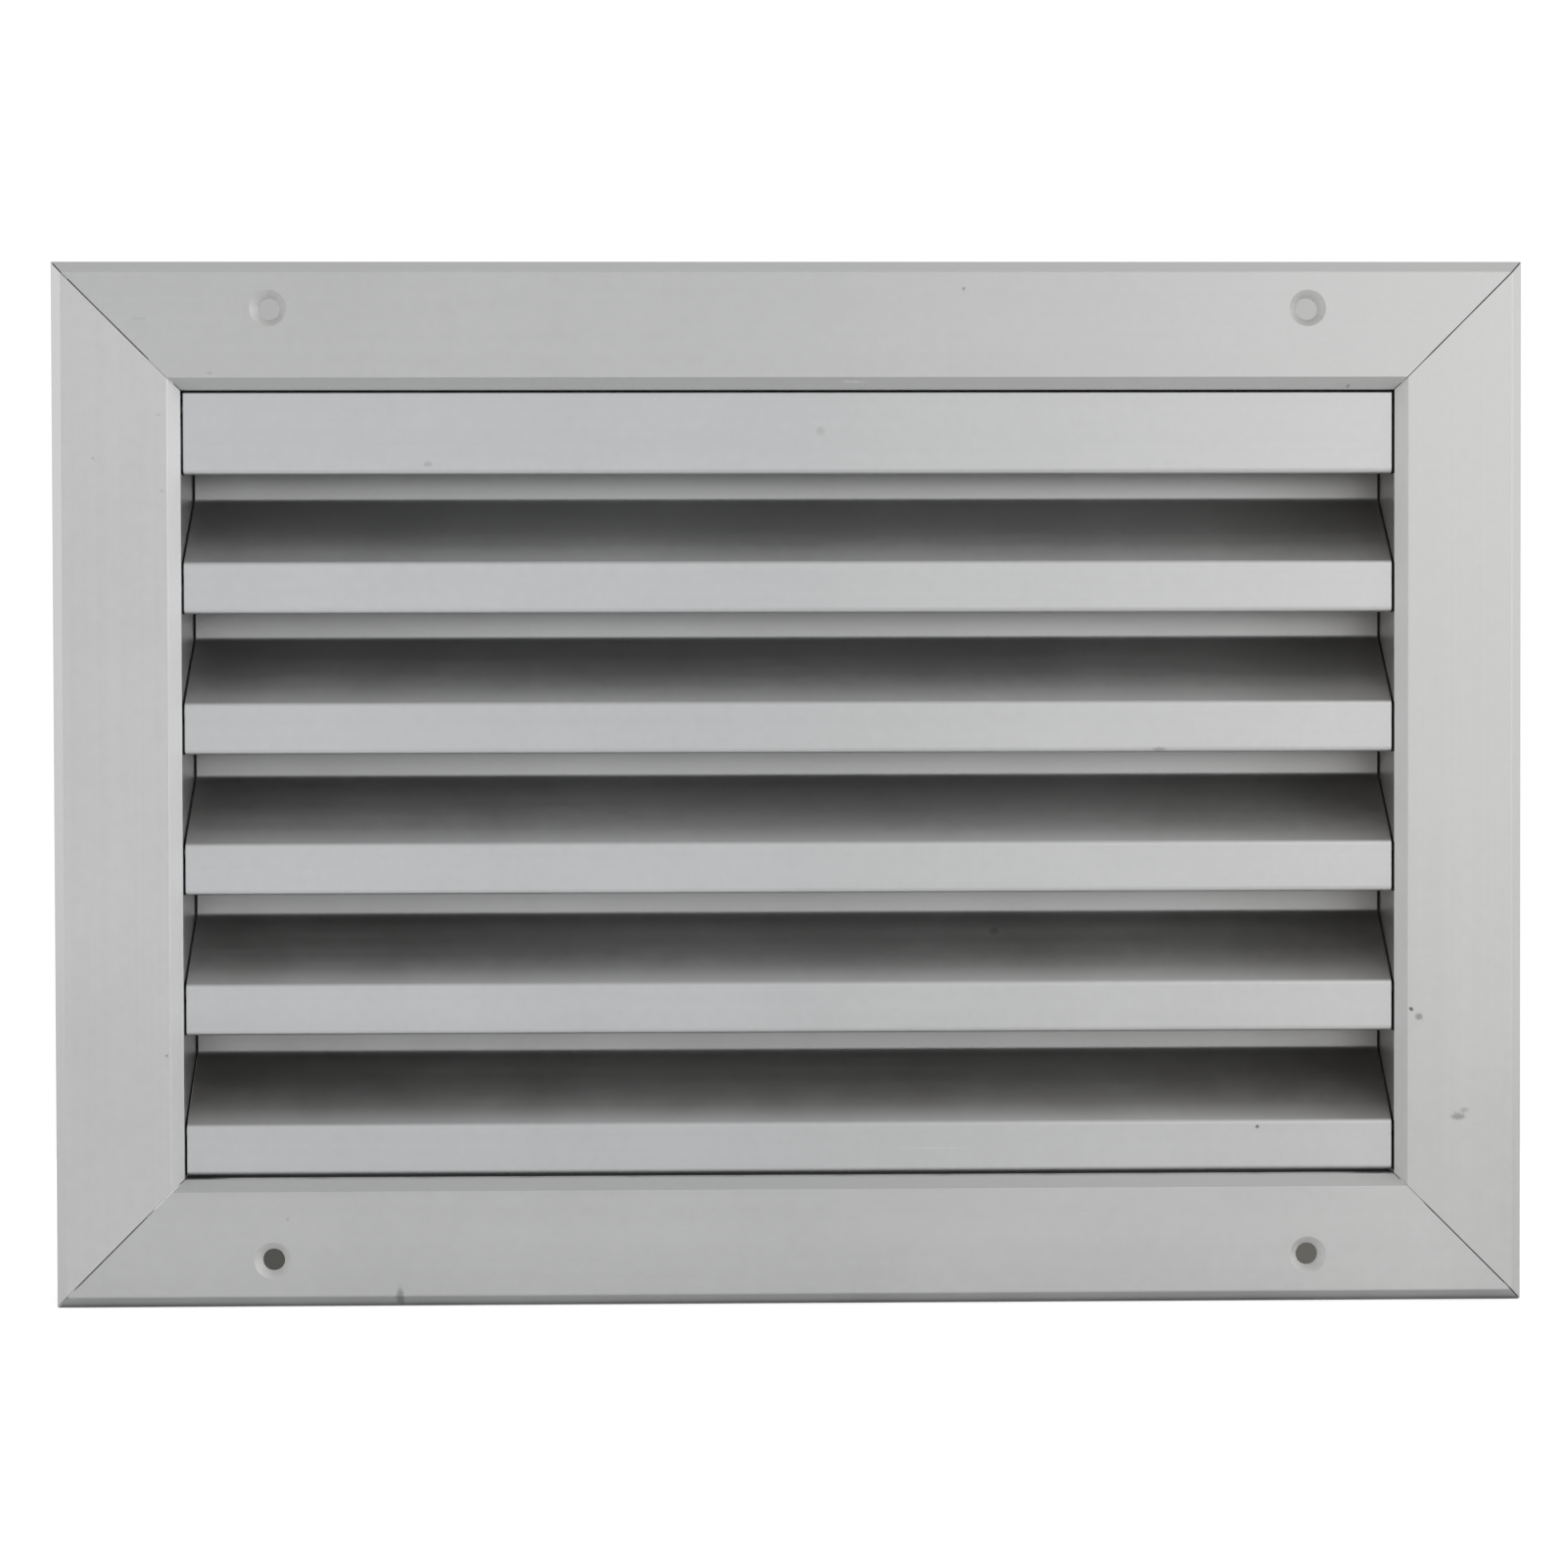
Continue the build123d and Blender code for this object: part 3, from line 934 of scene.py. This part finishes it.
# Studio: a soft dome, a pale floor and a white background
studio = {
    "spread": 2.0,  # a higher power narrows a light
    "front": 0.90,
    "frontRight": 1.15,  # added towards the right of the front
    "frontRightSpan": (0.04, 0.46),  # where it grows, as shares of X
    "frontLeft": 0.16,  # and towards the left
    "frontLeftSpan": (0.0, -0.30),
    "frontUp": 0.10,
    "left": 1.43,
    "leftTurn": 0.70,  # moves the left light towards the rear
    "right": 1.60,
    "up": 1.11,
    "upSpread": 7.0,
    "down": 0.35,
    "upRight": 0.17,  # share added to the overhead and floor light towards the right
    "upRightSpan": (0.0, 0.2),
    "rear": 0.095,
    "rearSpan": (0.15, 0.60),  # where the sides and the top go dim, as shares of Y
    "mirrorSpan": (0.40, 0.80),  # where a first reflection meets the white background
    "firstDepth": 2.5,  # the background counts one bounce more
}


def makeWorld(values):
    world = bpy.data.worlds.new("softStudio")
    bpy.context.scene.world = world
    world.use_nodes = True
    world.cycles.sampling_method = "NONE"
    tree = world.node_tree
    tree.nodes.clear()
    x, y, z = axes(tree, addNode(tree, "ShaderNodeTexCoord").outputs["Generated"])

    def light(axis, sign, power=values["spread"]):
        facing = calc(tree, "MAXIMUM", calc(tree, "MULTIPLY", axis, sign), 0.0)
        return calc(tree, "POWER", facing, power)

    frontRight = fade(tree, x, *values["frontRightSpan"], 0.0, values["frontRight"])
    frontLeft = fade(tree, x, *values["frontLeftSpan"], 0.0, values["frontLeft"])
    frontUp = calc(tree, "MULTIPLY", z, values["frontUp"])
    front = calc(tree, "ADD", frontRight, values["front"])
    front = calc(tree, "ADD", frontLeft, front)
    front = calc(tree, "ADD", frontUp, front)
    total = calc(tree, "MULTIPLY", light(y, -1), front)
    turned = calc(tree, "ADD", calc(tree, "MULTIPLY", y, values["leftTurn"]), 1.0)
    left = product(tree, light(x, -1), turned, values["left"])
    right = calc(tree, "MULTIPLY", light(x, 1), values["right"])
    up = calc(tree, "MULTIPLY", light(z, 1, values["upSpread"]), values["up"])
    down = calc(tree, "MULTIPLY", light(z, -1), values["down"])
    upRight = fade(tree, x, *values["upRightSpan"], 1.0, 1.0 + values["upRight"])
    upAndDown = calc(tree, "MULTIPLY", calc(tree, "ADD", up, down), upRight)
    for part in (left, right, upAndDown):
        total = calc(tree, "ADD", total, part)
    total = mixValue(tree, fade(tree, y, *values["rearSpan"]), total, values["rear"])
    path = addNode(tree, "ShaderNodeLightPath").outputs
    first = calc(tree, "LESS_THAN", path["Ray Depth"], values["firstDepth"])
    behind = fade(tree, y, *values["mirrorSpan"])
    mirrored = product(tree, path["Is Glossy Ray"], first, behind)
    seen = calc(tree, "MAXIMUM", path["Is Camera Ray"], path["Is Transmission Ray"])
    seen = calc(tree, "MAXIMUM", seen, mirrored)
    colour = mixColour(tree, seen, total, (1, 1, 1, 1))
    background = addNode(tree, "ShaderNodeBackground", {"Color": colour, "Strength": 1.0})
    out = addNode(tree, "ShaderNodeOutputWorld")
    tree.links.new(background.outputs[0], out.inputs["Surface"])


floorLook = {
    "side": 3.0,
    "front": 3.0,
    "back": 0.25,
    "colour": (0.80, 0.80, 0.80, 1),
    "roughness": 0.9,
    "glow": 0.62,
    "mirrorGlow": 0.29,
    "firstDepth": 1.5,
}


def makeFloor(values):
    mesh = bpy.data.meshes.new("studioFloor")
    side, front, back = values["side"], values["front"], values["back"]
    corners = [(-side, -front, 0), (side, -front, 0), (side, back, 0), (-side, back, 0)]
    mesh.from_pydata(corners, [], [(0, 1, 2, 3)])
    floor = bpy.data.objects.new("studioFloor", mesh)
    floor.location.z = cadBox[0][2]
    bpy.context.collection.objects.link(floor)
    material = bpy.data.materials.new("paleFloor")
    material.use_nodes = True
    tree = material.node_tree
    shader = tree.nodes["Principled BSDF"]
    shader.inputs["Base Color"].default_value = values["colour"]
    shader.inputs["Roughness"].default_value = values["roughness"]
    shader.inputs["Specular IOR Level"].default_value = 0.0
    path = addNode(tree, "ShaderNodeLightPath").outputs
    seen = calc(tree, "MAXIMUM", path["Is Camera Ray"], path["Is Transmission Ray"])
    first = calc(tree, "LESS_THAN", path["Ray Depth"], values["firstDepth"])
    mirrored = product(tree, path["Is Glossy Ray"], first, values["mirrorGlow"])
    strength = calc(tree, "ADD", calc(tree, "MULTIPLY", seen, values["glow"]), mirrored)
    glow = addNode(tree, "ShaderNodeEmission", {"Color": (1, 1, 1, 1), "Strength": strength})
    both = addNode(tree, "ShaderNodeAddShader")
    tree.links.new(shader.outputs[0], both.inputs[0])
    tree.links.new(glow.outputs[0], both.inputs[1])
    tree.links.new(both.outputs[0], tree.nodes["Material Output"].inputs["Surface"])
    mesh.materials.append(material)


# Small pieces of the wall that the front holes look at, glowing with painted light and shade: dark below
# as wall in the frame's shadow, lighter above as lit wall
wallPatch = {
    "y": -0.0001,
    "half": 0.009,  # wide enough to fill the holes from the side too
    "plasterScale": 900.0,
    "plasterDetail": 3.0,
    "plasterNoise": (0.2, 0.8),
    "plasterShare": (0.92, 1.08),
    "litAndShadedTones": {
        (-1, 1): (0.437, 0.437, 0.437, 1),
        (1, 1): (0.497, 0.497, 0.492, 1),
        (-1, -1): (0.084, 0.083, 0.078, 1),
        (1, -1): (0.130, 0.127, 0.115, 1),
    },
}


def makeWallPatch(across, up, values):
    name = "wallPatch_" + ("top" if up > 0 else "bottom") + ("Right" if across > 0 else "Left")
    material = bpy.data.materials.new(name)
    material.use_nodes = True
    tree = material.node_tree
    tree.nodes.clear()
    grit = {"Scale": values["plasterScale"], "Detail": values["plasterDetail"]}
    plaster = addNode(tree, "ShaderNodeTexNoise", grit)
    shade = fade(tree, plaster.outputs[0], *values["plasterNoise"], *values["plasterShare"])
    tone = mixColour(tree, 1.0, values["litAndShadedTones"][across, up], shade, "MULTIPLY")
    glow = addNode(tree, "ShaderNodeEmission", {"Color": tone})
    facing = addNode(tree, "ShaderNodeNewGeometry").outputs["Backfacing"]
    oneSided = addNode(tree, "ShaderNodeMixShader", {0: facing, 1: glow.outputs[0]})
    tree.links.new(addNode(tree, "ShaderNodeBsdfTransparent").outputs[0], oneSided.inputs[2])
    tree.links.new(oneSided.outputs[0], addNode(tree, "ShaderNodeOutputMaterial").inputs["Surface"])
    half, y = values["half"], values["y"]
    x, z = across * holeAcross, up * holeHeight
    sides = [(-half, -half), (half, -half), (half, half), (-half, half)]
    mesh = bpy.data.meshes.new(name)
    mesh.from_pydata([(x + aside, y, z + above) for aside, above in sides], [], [(0, 1, 2, 3)])
    mesh.materials.append(material)
    patch = bpy.data.objects.new(name, mesh)
    bpy.context.collection.objects.link(patch)
    for ray in ("diffuse", "glossy", "transmission", "shadow"):
        setattr(patch, "visible_" + ray, False)


makeWorld(studio)
makeFloor(floorLook)
for across, up in wallPatch["litAndShadedTones"]:
    makeWallPatch(across, up, wallPatch)
print("studio ready")
